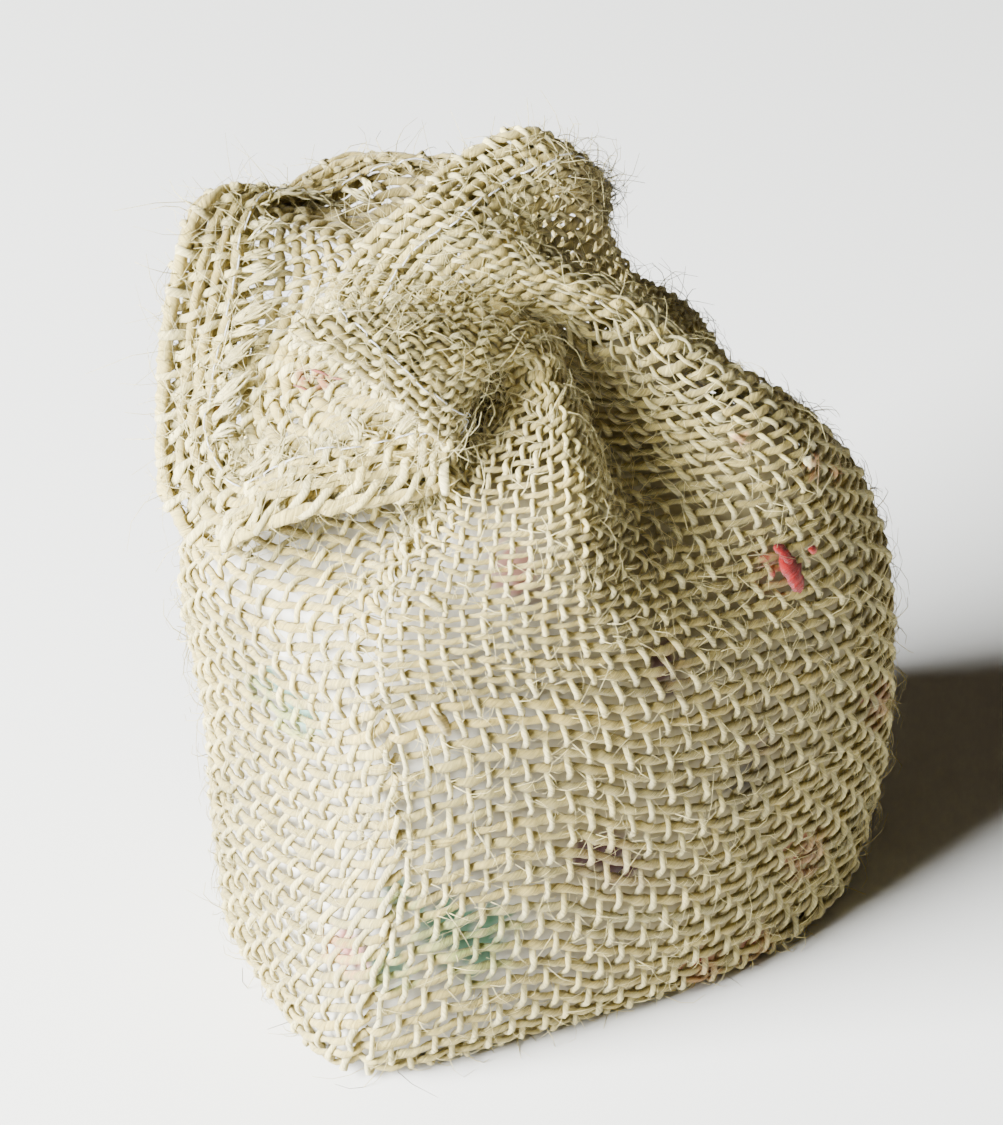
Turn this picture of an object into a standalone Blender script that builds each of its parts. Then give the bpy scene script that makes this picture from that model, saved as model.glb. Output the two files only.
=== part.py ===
"""A small burlap sack, filled, gathered at the neck, its open collar flopped over to one side.

The cloth is one solid: two panels woven round into one tube, with a pinched seam at the front
left corner (A) and at the back right corner (C), a flat base and a doubled hem at the mouth.
The filling is a second solid that packs the body of the sack.

The cloth is a grid. A column is a warp's path, counted round from seam A over the front. The
body's rows are rings worked out from SECTIONS, with the gathers of FOLDS laid on along the
surface's normal. The collar's columns are curves from the neck ring to the mouth given by RIM.
Lengths are millimetres until the meshes are made. +X is the front face's right, +Y is the back.
The origin is on the floor, under the middle of the sack's outline.
"""

import bmesh
import bpy
import numpy as np

MM = 0.001
MIDDLE = np.array([0.2, 0.1, 0.0])  # middle of the sack's outline in the tables' frame: the origin

# ---------------------------------------------------------------- driving sizes
WARPS = 96  # warps round the sack; RIM places its rows by warp number
CLOTH = 1.0  # thickness of the single cloth
HEM = 1.8  # thickness of the doubled cloth at the mouth
HEM_WIDTH = 10.0  # from the mouth's edge to the hem's raw edge
HEM_STEP = 0.7  # length over which the hem's raw edge steps down to the single cloth
SEAM_WIDTH = 2.2  # half width of the pinched ridge along each seam
FLOOR_TURN = 10.0  # below this height the folds and ridges are laid on more and more level
FOLDS_START = 50.0  # height at which the gathers have their foot angle and height
FOLDS_NECK = 80.0  # height at which they have their neck angle and height
PACK_GAP = 1.15  # between the filling and the inside of the cloth
PACK_FLOOR = 1.4  # height of the filling's flat underside
PACK_NECK_GAP = 4.2  # added to that gap at the neck, where the gathers are steep
PACK_SHOULDER = 68.0  # height to which the filling follows the cloth
PACK_TOP = 71.5  # height of the filling's crown

EVEN_COLUMNS = 68  # grid columns round the sack, and two more beside each seam
BESIDE_SEAM = 0.0065  # share of the round at which those stand from the seam
TURN_ROWS = (0, 2, 4)  # of the fine rings, where the cloth turns under
WALL_ROWS = 8
SHOULDER_ROWS = 11
WALL_SHARE = 0.52  # share of the profile's rows that lies below the shoulder
COLLAR_ROWS = 8  # between the neck and the hem
HEM_ROWS = 3
BASE_ROWS = 5  # points between the two ends of each line across the base
PACK_COLUMNS = 48
PACK_ROWS = 13  # of the filling's walls
CROWN_ROWS = 4  # of the filling's crown
FINE_ROWS = 64  # rows and points of the fine rings that the grid is read from
FINE_POINTS = 720

# ---------------------------------------------------------------- the body's level rings
SECTION_COLUMNS = (
    "z",
    "half_width",
    "half_depth",
    "centre_x",
    "centre_y",
    "seam_square",  # superellipse power in the quadrants of the two seams
    "round_square",  # and in the other two
    "fold",  # height in mm of a gather of weight 1
    "shear",  # sideways slip of the ring for each mm of depth
    "pinch",  # height in mm of the seam's ridge
)
SECTIONS = (
    (0.0, 34.2, 21.0, 1.0, -0.8, 5.0, 2.6, 0.0, 0.00, 0.0),
    (0.0, 36.9, 23.7, 1.0, -0.8, 5.6, 2.6, 0.0, 0.00, 0.0),
    (1.5, 38.8, 25.6, 1.0, -0.7, 6.2, 2.4, 0.1, 0.03, 0.3),
    (6.0, 40.2, 26.6, 1.5, -0.5, 6.2, 2.05, 0.5, 0.08, 0.8),
    (16.0, 40.4, 27.3, 1.7, 0.0, 5.4, 2.05, 0.9, 0.16, 1.0),
    (30.0, 39.6, 27.6, 1.4, 0.2, 4.6, 2.05, 1.2, 0.24, 0.9),
    (45.0, 39.3, 27.4, -0.3, 0.4, 4.0, 2.05, 1.4, 0.27, 0.9),
    (55.0, 38.0, 26.2, -2.4, 0.6, 3.4, 2.05, 1.8, 0.22, 0.9),
    (61.0, 34.9, 24.8, -3.3, 0.6, 3.1, 2.2, 2.4, 0.18, 0.9),
    (66.5, 29.8, 22.0, -2.0, 0.7, 2.8, 2.3, 3.7, 0.12, 0.8),
    (72.0, 23.5, 17.7, -0.8, 0.8, 2.5, 2.2, 4.8, 0.06, 0.5),
    (77.0, 16.8, 13.4, 0.0, 1.0, 2.2, 2.0, 4.9, 0.02, 0.2),
    (80.5, 13.2, 11.4, -0.5, 1.2, 2.0, 2.0, 4.2, 0.00, 0.0),
    (83.0, 12.4, 10.9, -1.0, 1.5, 2.0, 2.0, 3.6, 0.00, 0.0),
)

# ---------------------------------------------------------------- the gathers, ridge and valley in turn
FOLD_COLUMNS = ("neck_angle", "foot_angle", "neck_weight", "foot_weight")
FOLDS = (
    (236, 220, 0.6, 0.6),  # seam A's ridge
    (250, 268, 1.1, 1.0),  # front ridge
    (281, 311, -1.2, -1.3),  # valley right of it
    (314, 350, 1.2, 0.9),  # right shoulder
    (342, 378, -0.7, -0.6),
    (370, 400, 0.3, 0.0),  # back right ridge
    (396, 424, -0.9, -0.8),
    (424, 448, 1.1, 0.7),  # back ridge
    (452, 468, -0.4, -0.9),
    (482, 489, 1.1, 0.8),  # back left ridge
    (514, 514, -0.9, -0.8),
    (540, 540, -0.3, 0.1),  # the left shoulder, kept low under the collar
    (572, 562, -1.2, -0.7),  # valley under the collar's lip
)

# ---------------------------------------------------------------- the mouth's edge
RIM_COLUMNS = ("warp", "x", "y", "z", "belly_x", "belly_y", "belly_z")
NECK_PULL = 0.16  # how far a column runs on upwards from the neck, as a share of its reach to the mouth
RIM = (
    (0, -18.5, -14.0, 72.5, -4.0, -2.0, 3.0),  # the lower lip's right end
    (2.5, -16.5, -15.5, 76.0, -2.0, -2.5, 1.5),
    (5, -20.0, -15.0, 80.5, 1.0, -4.0, 0.5),  # the near fold's hanging edge
    (10, -25.5, -13.5, 87.0, 1.0, -5.0, 3.0),
    (14, -30.0, -12.0, 91.5, 0.0, -4.5, 5.0),
    (17, -32.5, -8.5, 93.5, -1.0, -2.5, 6.0),  # the near fold's tip
    (20.5, -27.5, -4.5, 90.0, 0.5, 0.5, 1.5),  # gully between the two folds
    (24, -24.0, -0.5, 91.5, -1.0, -2.0, 3.0),
    (27, -20.8, 2.0, 94.0, -2.5, -5.0, 4.0),  # the near wall's edge
    (32, -15.5, 1.5, 98.5, -2.5, -5.5, 4.0),
    (37, -8.5, 4.0, 101.0, 0.0, -5.5, 2.0),
    (43, 1.0, 3.0, 103.0, 3.5, -2.0, 0.0),  # the peak
    (50, 10.0, 9.5, 90.0, 8.5, 0.5, 1.5),  # the right side
    (57, 0.0, 17.5, 92.0, 2.5, 5.5, 0.0),  # the far wall's edge
    (63, -6.5, 22.5, 91.5, 2.0, 4.5, 0.0),
    (69, -14.0, 25.0, 91.5, 2.0, 4.5, 0.0),
    (74, -23.0, 23.5, 89.5, 1.5, 3.5, -2.0),
    (78, -32.0, 20.5, 92.5, 1.0, 2.5, -3.0),  # the upper left corner
    (82, -37.0, 16.5, 84.5, -1.0, 1.0, 0.0),
    (86, -40.0, 11.0, 74.0, -1.5, 1.0, 2.0),  # the left flap's edge
    (89, -41.5, 4.0, 65.5, -2.5, 1.0, 4.0),
    (91.5, -39.0, -3.5, 63.5, -3.5, -1.0, 5.0),  # its lowest point
    (94, -31.5, -9.0, 70.0, -3.5, -2.0, 4.0),
)


def slopes_between(knots, values):
    return np.diff(values, axis=0) / np.diff(knots)[:, None]


def limited_slopes(knots, values):
    """Slopes at the knots that let a cubic pass through them without overshooting."""
    step = slopes_between(knots, values)
    before, after = step[:-1], step[1:]
    same_way = before * after > 0
    total = np.where(same_way, before + after, 1.0)
    inner = np.where(same_way, 2 * before * after / total, 0.0)
    return np.vstack([step[:1], inner, step[-1:]])


def cubic(knots, values, slopes, at):
    """Cubic Hermite curve through the knots, read at the given places."""
    index = np.clip(np.searchsorted(knots, at, side="right") - 1, 0, len(knots) - 2)
    width = (knots[index + 1] - knots[index])[:, None]
    t = (at - knots[index])[:, None] / width
    start = (1 + 2 * t) * (1 - t) ** 2 * values[index] + t * (1 - t) ** 2 * width * slopes[index]
    end = t**2 * (3 - 2 * t) * values[index + 1] + t**2 * (t - 1) * width * slopes[index + 1]
    return start + end


def round_curve(knots, values, period, at):
    """Smooth closed curve through rows placed at knots within one period."""
    laps = np.concatenate([knots - period, knots, knots + period])
    rows = np.vstack([values, values, values])
    step = slopes_between(laps, rows)
    gap = np.diff(laps)[:, None]
    inner = (step[:-1] * gap[1:] + step[1:] * gap[:-1]) / (gap[1:] + gap[:-1])
    slopes = np.vstack([step[:1], inner, step[-1:]])
    return cubic(laps, rows, slopes, at)


def lengths_along(points):
    """Distance along a polyline, or along many at once where points are (row, column, xyz)."""
    steps = np.linalg.norm(np.diff(points, axis=0), axis=-1)
    return np.concatenate([np.zeros_like(steps[:1]), np.cumsum(steps, axis=0)])


def read_polyline(points, at):
    """Points at the given distances along a polyline."""
    along = lengths_along(points)
    return np.stack([np.interp(at, along, points[:, axis]) for axis in range(3)], axis=-1)


def section_rows(count):
    """SECTIONS read at even steps along the profile, as a dictionary of columns."""
    table = np.array(SECTIONS)
    knots = np.concatenate([[0], np.cumsum(np.hypot(np.diff(table[:, 0]), np.diff(table[:, 1])))])
    at = np.linspace(0, knots[-1], count)
    rows = cubic(knots, table, limited_slopes(knots, table), at)
    return {name: rows[:, column] for column, name in enumerate(SECTION_COLUMNS)}


def gather_weight(angle, neck_share):
    """Weight of the gathers at each angle: 1 on a plain ridge, -1 in a plain valley."""
    neck_angle, foot_angle, neck_weight, foot_weight = np.array(FOLDS, float).T
    centre = neck_angle * neck_share + foot_angle * (1 - neck_share)
    weight = neck_weight * neck_share + foot_weight * (1 - neck_share)
    centre = np.concatenate([[centre[-1] - 360], centre, [centre[0] + 360]])
    weight = np.concatenate([[weight[-1]], weight, [weight[0]]])
    turn = (angle - centre[0]) % 360 + centre[0]
    index = np.clip(np.searchsorted(centre, turn, side="right") - 1, 0, len(centre) - 2)
    share = (turn - centre[index]) / (centre[index + 1] - centre[index])
    blend = 0.5 - 0.5 * np.cos(np.pi * share)
    return weight[index] * (1 - blend) + weight[index + 1] * blend


def fine_rings(seams=(0.0, 0.5), inset=0.0, neck_inset=0.0):
    """The body's rings with gathers and seam ridges, each starting at seam A, moved in by inset.

    neck_inset is the further inset at the neck, from nothing at the foot of the gathers.
    """
    section = section_rows(FINE_ROWS)
    gathered = np.clip((section["z"] - FOLDS_START) / (FOLDS_NECK - FOLDS_START), 0, 1)
    column = {name: values[:, None] for name, values in section.items()}
    corner = np.pi + np.arctan2(column["half_depth"], column["half_width"])
    angle = corner + np.linspace(0, 2 * np.pi, FINE_POINTS, endpoint=False)
    cos, sin = np.cos(angle), np.sin(angle)
    power = np.where(cos * sin > 0, column["seam_square"], column["round_square"])
    across = (np.abs(cos) / column["half_width"]) ** power
    deep = (np.abs(sin) / column["half_depth"]) ** power
    radius = (across + deep) ** (-1 / power)
    slip = -column["shear"] * radius * sin
    x = radius * cos + slip
    y = radius * sin
    height = np.broadcast_to(column["z"], x.shape)
    rings = np.stack([column["centre_x"] + x, column["centre_y"] + y, height], axis=-1)
    along_profile = np.gradient(rings, axis=0)
    around = np.roll(rings, -1, axis=1) - np.roll(rings, 1, axis=1)
    normal = np.cross(around, along_profile)
    normal[..., 2] *= np.clip(column["z"] / FLOOR_TURN, 0, 1)
    size = np.linalg.norm(normal, axis=-1, keepdims=True)
    normal /= np.where(size > 0, size, 1.0)  # the innermost ring on the floor has no level normal
    lift = np.zeros(x.shape)
    closed = np.concatenate([rings, rings[:, :1]], axis=1)
    along = lengths_along(closed.transpose(1, 0, 2)).T
    for row in range(FINE_ROWS):
        degrees = np.degrees(np.arctan2(y[row], x[row]))
        weight = gather_weight(degrees, gathered[row])
        lift[row] = section["fold"][row] * weight
        whole = along[row, -1]
        for seam in seams:
            off = (along[row, :-1] / whole - seam + 0.5) % 1 - 0.5
            lift[row] += section["pinch"][row] * np.exp(-((off * whole / SEAM_WIDTH) ** 2))
    lift -= inset + neck_inset * gathered[:, None]
    return rings + normal * lift[..., None]


def columns_round(rings, shares):
    """Each ring read at shares of its own length, so that the warps stay evenly spaced."""
    closed = np.concatenate([rings, rings[:, :1]], axis=1)
    read = [read_polyline(ring, shares * lengths_along(ring)[-1]) for ring in closed]
    return np.stack(read)


def collar_columns(body, shares):
    """Curves from the neck ring to the mouth, one for each column, as (row, column, xyz)."""
    table = np.array(RIM, float)
    rows = round_curve(table[:, 0], table[:, 1:], WARPS, shares * WARPS)
    rim, belly = rows[:, :3], rows[:, 3:]
    neck = body[-1]
    rise = body[-1] - body[-4]
    rise /= np.linalg.norm(rise, axis=-1, keepdims=True)
    reach = np.linalg.norm(rim - neck, axis=-1, keepdims=True)
    leave = neck + rise * reach * NECK_PULL
    arrive = (neck + 3 * rim) / 4 + belly
    t = np.linspace(0, 1, FINE_ROWS)[:, None, None]
    start = (1 - t) ** 3 * neck + 3 * (1 - t) ** 2 * t * leave
    return start + 3 * (1 - t) * t**2 * arrive + t**3 * rim


def grid_shares():
    """Shares of the round at which the grid's columns stand, the same on both panels."""
    half = np.linspace(0, 0.5, EVEN_COLUMNS // 2 + 1)[:-1]
    half = np.sort(np.concatenate([half, [BESIDE_SEAM, 0.5 - BESIDE_SEAM]]))
    return np.concatenate([half, half + 0.5])


def cloth_grid():
    """The cloth's outer surface from the floor to the mouth, as (row, column, xyz), and its hem rows."""
    shares = grid_shares()
    fine_body = columns_round(fine_rings(), shares)
    fine_collar = collar_columns(fine_body, shares)
    # The walls are nearly straight above the turn at the floor, and the gathers need closer rows.
    turn_at = np.array(TURN_ROWS)
    wall_at = np.linspace(TURN_ROWS[-1] + 2, WALL_SHARE * FINE_ROWS, WALL_ROWS)
    shoulder_at = np.linspace(WALL_SHARE * FINE_ROWS, FINE_ROWS - 1, SHOULDER_ROWS + 1)[1:]
    rows = np.rint(np.concatenate([turn_at, wall_at, shoulder_at])).astype(int)
    body = fine_body[rows]
    collar = []
    for column in range(len(shares)):
        curve = fine_collar[:, column]
        whole = lengths_along(curve)[-1]
        hem = whole - HEM_WIDTH
        below = np.linspace(0, hem - HEM_STEP, COLLAR_ROWS + 1)[1:]
        doubled = np.linspace(hem, whole, HEM_ROWS)
        collar.append(read_polyline(curve, np.concatenate([below, doubled])))
    grid = np.concatenate([body, np.stack(collar, axis=1)])
    return grid, len(grid) - HEM_ROWS


def new_object(name, mesh, collection, colour, roughness):
    material = bpy.data.materials.new(name)
    material.use_nodes = True
    shader = material.node_tree.nodes["Principled BSDF"]
    shader.inputs["Base Color"].default_value = (*colour, 1)
    shader.inputs["Roughness"].default_value = roughness
    mesh.materials.append(material)
    made = bpy.data.objects.new(name, mesh)
    collection.objects.link(made)
    return made


def add_rows(shell, grid):
    """Rings of faces through the grid's rows, each closed round. Returns the rows' points."""
    rows = [[shell.verts.new((point - MIDDLE) * MM) for point in row] for row in grid]
    for lower, upper in zip(rows, rows[1:]):
        for column in range(len(lower)):
            beside = (column + 1) % len(lower)
            shell.faces.new((lower[column], lower[beside], upper[beside], upper[column]))
    return rows


def add_base(shell, ring):
    """The flat base: lines that join the two panels under the sack, from seam A to seam C."""
    half = len(ring) // 2
    lines = []
    for column in range(1, half):
        near, far = ring[column], ring[-column]
        inner = []
        for step in range(1, BASE_ROWS + 1):
            inner.append(shell.verts.new(near.co.lerp(far.co, step / (BASE_ROWS + 1))))
        lines.append([near, *inner, far])
    for line, beside in zip(lines, lines[1:]):
        for step in range(BASE_ROWS + 1):
            shell.faces.new((line[step], line[step + 1], beside[step + 1], beside[step]))
    for seam, line, turned in ((ring[0], lines[0], False), (ring[half], lines[-1], True)):
        for step in range(BASE_ROWS + 1):
            corners = (seam, line[step + 1], line[step])
            shell.faces.new(corners[::-1] if turned else corners)


def make_sack(collection):
    """One cloth solid: an open surface thickened inwards, to the hem's thickness at the mouth."""
    grid, first_hem_row = cloth_grid()
    shell = bmesh.new()
    rows = add_rows(shell, grid)
    add_base(shell, rows[0])
    hem_points = [point for row in rows[first_hem_row:] for point in row]
    shell.verts.index_update()
    hem_indices = [point.index for point in hem_points]
    mesh = bpy.data.meshes.new("sack")
    shell.to_mesh(mesh)
    shell.free()
    mesh.shade_smooth()
    sack = new_object("sack", mesh, collection, (0.55, 0.44, 0.26), 0.9)
    hem = sack.vertex_groups.new(name="hem")
    hem.add(hem_indices, 1.0, "REPLACE")
    solid = sack.modifiers.new("Cloth thickness", "SOLIDIFY")
    solid.thickness = HEM * MM
    solid.offset = -1
    solid.vertex_group = hem.name
    solid.thickness_vertex_group = CLOTH / HEM
    solid.use_even_offset = False
    return sack


def make_filling(collection):
    """The packed contents: rings inside the cloth, closed by a flat underside and a low crown."""
    rings = fine_rings(seams=(), inset=CLOTH + PACK_GAP, neck_inset=PACK_NECK_GAP)
    rings = columns_round(rings, np.linspace(0, 1, PACK_COLUMNS, endpoint=False))
    heights = section_rows(FINE_ROWS)["z"]
    lowest = np.searchsorted(heights, 0, side="right")
    highest = np.searchsorted(heights, PACK_SHOULDER)
    walls = rings[np.rint(np.linspace(lowest, highest, PACK_ROWS)).astype(int)]
    walls[0, :, 2] = PACK_FLOOR
    shoulder = walls[-1]
    middle = shoulder.mean(axis=0)
    crown = []
    for turn in np.linspace(0, np.pi / 2, CROWN_ROWS + 1)[1:-1]:
        ring = middle + (shoulder - middle) * np.cos(turn)
        ring[:, 2] = shoulder[:, 2] + (PACK_TOP - shoulder[:, 2]) * np.sin(turn)
        crown.append(ring)
    shell = bmesh.new()
    rows = add_rows(shell, [*walls, *crown])
    floor = shell.verts.new((np.array([*middle[:2], PACK_FLOOR]) - MIDDLE) * MM)
    top = shell.verts.new((np.array([*middle[:2], PACK_TOP]) - MIDDLE) * MM)
    for column in range(PACK_COLUMNS):
        beside = (column + 1) % PACK_COLUMNS
        shell.faces.new((rows[0][beside], rows[0][column], floor))
        shell.faces.new((rows[-1][column], rows[-1][beside], top))
    mesh = bpy.data.meshes.new("filling")
    shell.to_mesh(mesh)
    shell.free()
    mesh.shade_smooth()
    new_object("filling", mesh, collection, (0.72, 0.72, 0.76), 0.35)


def main():
    for old in list(bpy.data.objects):
        bpy.data.objects.remove(old)
    collection = bpy.data.collections.new("burlap_sack")
    bpy.context.scene.collection.children.link(collection)
    make_sack(collection)
    make_filling(collection)


main()
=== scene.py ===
"""A small burlap sack, filled, gathered at the neck, its open collar flopped over to one side.

The cloth is woven from its yarns: each warp and each weft is a tube that rises over one crossing
and dips under the next. The yarns follow the CAD sack's surface, worked out again here from the
same tables. Lengths are millimetres until the meshes are made. +X is the front face's right and
+Y is the back.
"""

import math

import bpy
import numpy as np
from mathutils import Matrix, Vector


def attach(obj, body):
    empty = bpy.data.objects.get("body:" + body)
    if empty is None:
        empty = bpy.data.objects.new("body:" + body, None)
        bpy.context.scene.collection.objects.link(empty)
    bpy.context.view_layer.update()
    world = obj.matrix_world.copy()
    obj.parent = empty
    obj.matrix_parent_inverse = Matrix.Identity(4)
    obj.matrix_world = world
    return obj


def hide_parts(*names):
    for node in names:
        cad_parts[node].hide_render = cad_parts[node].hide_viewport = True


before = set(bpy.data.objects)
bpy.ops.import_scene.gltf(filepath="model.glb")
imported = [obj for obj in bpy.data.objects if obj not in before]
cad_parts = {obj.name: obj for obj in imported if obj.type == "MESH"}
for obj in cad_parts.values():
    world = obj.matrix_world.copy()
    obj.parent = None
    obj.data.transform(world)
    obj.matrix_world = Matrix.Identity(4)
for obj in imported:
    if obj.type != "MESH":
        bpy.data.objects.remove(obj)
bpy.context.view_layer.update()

MM = 0.001
MIDDLE = np.array([0.2, 0.1, 0.0])  # middle of the sack's outline in the tables' frame: the origin

# ---- the CAD sack's sizes
WARPS = 96  # warps round the sack, half of them in each panel
CLOTH = 1.0  # its thickness
SEAM_WIDTH = 2.2  # of a seam's ridge
FLOOR_TURN = 10.0  # below this height, the folds stand out more and more level
FOLDS_START, FOLDS_NECK = 50.0, 80.0  # heights of the gathers' feet and of their neck
PACK_GAP = 1.15  # between the cloth and the filling
PACK_NECK_GAP = 4.2  # and how much more at the neck
PACK_FLOOR, PACK_SHOULDER, PACK_TOP = 1.4, 68.0, 71.5  # heights
FINE_ROWS = 211
FINE_POINTS = 1440
COLLAR_FINE_ROWS = 121
NECK_RISE_ROWS = 10  # rows of the fine rings over which the neck's rise is read

# ---- the body's level rings
SECTION_COLUMNS = (
    "z",
    "half_width",
    "half_depth",
    "centre_x",
    "centre_y",
    "seam_square",  # superellipse power in the quadrants of the two seams
    "round_square",  # and in the other two
    "fold",  # height in mm of a gather of weight 1
    "shear",  # sideways slip of the ring for each mm of depth
    "pinch",  # height in mm of the seam's ridge
)
SECTIONS = (
    (0.0, 34.2, 21.0, 1.0, -0.8, 5.0, 2.6, 0.0, 0.00, 0.0),
    (0.0, 36.9, 23.7, 1.0, -0.8, 5.6, 2.6, 0.0, 0.00, 0.0),
    (1.5, 38.8, 25.6, 1.0, -0.7, 6.2, 2.4, 0.1, 0.03, 0.3),
    (6.0, 40.2, 26.6, 1.5, -0.5, 6.2, 2.05, 0.5, 0.08, 0.8),
    (16.0, 40.4, 27.3, 1.7, 0.0, 5.4, 2.05, 0.9, 0.16, 1.0),
    (30.0, 39.6, 27.6, 1.4, 0.2, 4.6, 2.05, 1.2, 0.24, 0.9),
    (45.0, 39.3, 27.4, -0.3, 0.4, 4.0, 2.05, 1.4, 0.27, 0.9),
    (55.0, 38.0, 26.2, -2.4, 0.6, 3.4, 2.05, 1.8, 0.22, 0.9),
    (61.0, 34.9, 24.8, -3.3, 0.6, 3.1, 2.2, 2.4, 0.18, 0.9),
    (66.5, 29.8, 22.0, -2.0, 0.7, 2.8, 2.3, 3.7, 0.12, 0.8),
    (72.0, 23.5, 17.7, -0.8, 0.8, 2.5, 2.2, 4.8, 0.06, 0.5),
    (77.0, 16.8, 13.4, 0.0, 1.0, 2.2, 2.0, 4.9, 0.02, 0.2),
    (80.5, 13.2, 11.4, -0.5, 1.2, 2.0, 2.0, 4.2, 0.00, 0.0),
    (83.0, 12.4, 10.9, -1.0, 1.5, 2.0, 2.0, 3.6, 0.00, 0.0),
)

# ---- the gathers
# Ridge and valley in turn: the angle at the neck and at the foot, and the weight at each.
FOLDS = (
    (236, 220, 0.6, 0.6),  # seam A's ridge
    (250, 268, 1.1, 1.0),  # front ridge
    (281, 311, -1.2, -1.3),  # valley right of it
    (314, 350, 1.2, 0.9),  # right shoulder
    (342, 378, -0.7, -0.6),
    (370, 400, 0.3, 0.0),  # back right ridge
    (396, 424, -0.9, -0.8),
    (424, 448, 1.1, 0.7),  # back ridge
    (452, 468, -0.4, -0.9),
    (482, 489, 1.1, 0.8),  # back left ridge
    (514, 514, -0.9, -0.8),
    (540, 540, -0.3, 0.1),  # the left shoulder, kept low under the collar
    (572, 562, -1.2, -0.7),  # valley under the collar's lip
)

# ---- the mouth's edge
NECK_PULL = 0.16  # how far a column runs on upwards from the neck, as a share of its reach
# Warp, the edge's x, y and z, and how far the collar bellies out before it in x, y and z.
RIM = (
    (0, -18.5, -14.0, 72.5, -4.0, -2.0, 3.0),  # the lower lip's right end
    (2.5, -16.5, -15.5, 76.0, -2.0, -2.5, 1.5),
    (5, -20.0, -15.0, 80.5, 1.0, -4.0, 0.5),  # the near fold's hanging edge
    (10, -25.5, -13.5, 87.0, 1.0, -5.0, 3.0),
    (14, -30.0, -12.0, 91.5, 0.0, -4.5, 5.0),
    (17, -32.5, -8.5, 93.5, -1.0, -2.5, 6.0),  # the near fold's tip
    (20.5, -27.5, -4.5, 90.0, 0.5, 0.5, 1.5),  # gully between the two folds
    (24, -24.0, -0.5, 91.5, -1.0, -2.0, 3.0),
    (27, -20.8, 2.0, 94.0, -2.5, -5.0, 4.0),  # the near wall's edge
    (32, -15.5, 1.5, 98.5, -2.5, -5.5, 4.0),
    (37, -8.5, 4.0, 101.0, 0.0, -5.5, 2.0),
    (43, 1.0, 3.0, 103.0, 3.5, -2.0, 0.0),  # the peak
    (50, 10.0, 9.5, 90.0, 8.5, 0.5, 1.5),  # the right side
    (57, 0.0, 17.5, 92.0, 2.5, 5.5, 0.0),  # the far wall's edge
    (63, -6.5, 22.5, 91.5, 2.0, 4.5, 0.0),
    (69, -14.0, 25.0, 91.5, 2.0, 4.5, 0.0),
    (74, -23.0, 23.5, 89.5, 1.5, 3.5, -2.0),
    (78, -32.0, 20.5, 92.5, 1.0, 2.5, -3.0),  # the upper left corner
    (82, -37.0, 16.5, 84.5, -1.0, 1.0, 0.0),
    (86, -40.0, 11.0, 74.0, -1.5, 1.0, 2.0),  # the left flap's edge
    (89, -41.5, 4.0, 65.5, -2.5, 1.0, 4.0),
    (91.5, -39.0, -3.5, 63.5, -3.5, -1.0, 5.0),  # its lowest point
    (94, -31.5, -9.0, 70.0, -3.5, -2.0, 4.0),
)


def unit(vectors):
    return vectors / np.maximum(np.linalg.norm(vectors, axis=-1, keepdims=True), 1e-9)


def closed_round(grid):
    """The grid with its first column again at its end."""
    return np.concatenate([grid, grid[:, :1]], axis=1)


def slopes_between(knots, values):
    return np.diff(values, axis=0) / np.diff(knots)[:, None]


def limited_slopes(knots, values):
    """Slopes at the knots that let a cubic pass through them without overshooting."""
    step = slopes_between(knots, values)
    before, after = step[:-1], step[1:]
    same_way = before * after > 0
    total = np.where(same_way, before + after, 1.0)
    inner = np.where(same_way, 2 * before * after / total, 0.0)
    return np.vstack([step[:1], inner, step[-1:]])


def cubic(knots, values, slopes, at):
    """Cubic Hermite curve through the knots, read at the given places."""
    index = np.clip(np.searchsorted(knots, at, side="right") - 1, 0, len(knots) - 2)
    width = (knots[index + 1] - knots[index])[:, None]
    t = (at - knots[index])[:, None] / width
    start = (1 + 2 * t) * (1 - t) ** 2 * values[index] + t * (1 - t) ** 2 * width * slopes[index]
    end = t**2 * (3 - 2 * t) * values[index + 1] + t**2 * (t - 1) * width * slopes[index + 1]
    return start + end


def round_curve(knots, values, period, at):
    """Smooth closed curve through rows placed at knots within one period."""
    laps = np.concatenate([knots - period, knots, knots + period])
    rows = np.vstack([values, values, values])
    step = slopes_between(laps, rows)
    gap = np.diff(laps)[:, None]
    inner = (step[:-1] * gap[1:] + step[1:] * gap[:-1]) / (gap[1:] + gap[:-1])
    slopes = np.vstack([step[:1], inner, step[-1:]])
    return cubic(laps, rows, slopes, at)


def lengths_along(points):
    """Distance along a polyline, or along many at once where points are (row, column, xyz)."""
    steps = np.linalg.norm(np.diff(points, axis=0), axis=-1)
    return np.concatenate([np.zeros_like(steps[:1]), np.cumsum(steps, axis=0)])


def read_line(along, points, at):
    """Points, or normals, at the given distances along a line."""
    return np.stack([np.interp(at, along, points[:, axis]) for axis in range(3)], axis=-1)


def section_rows(count):
    """SECTIONS read at even steps along the profile, as a dictionary of columns."""
    table = np.array(SECTIONS)
    knots = np.concatenate([[0], np.cumsum(np.hypot(np.diff(table[:, 0]), np.diff(table[:, 1])))])
    at = np.linspace(0, knots[-1], count)
    rows = cubic(knots, table, limited_slopes(knots, table), at)
    return {name: rows[:, column] for column, name in enumerate(SECTION_COLUMNS)}


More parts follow.
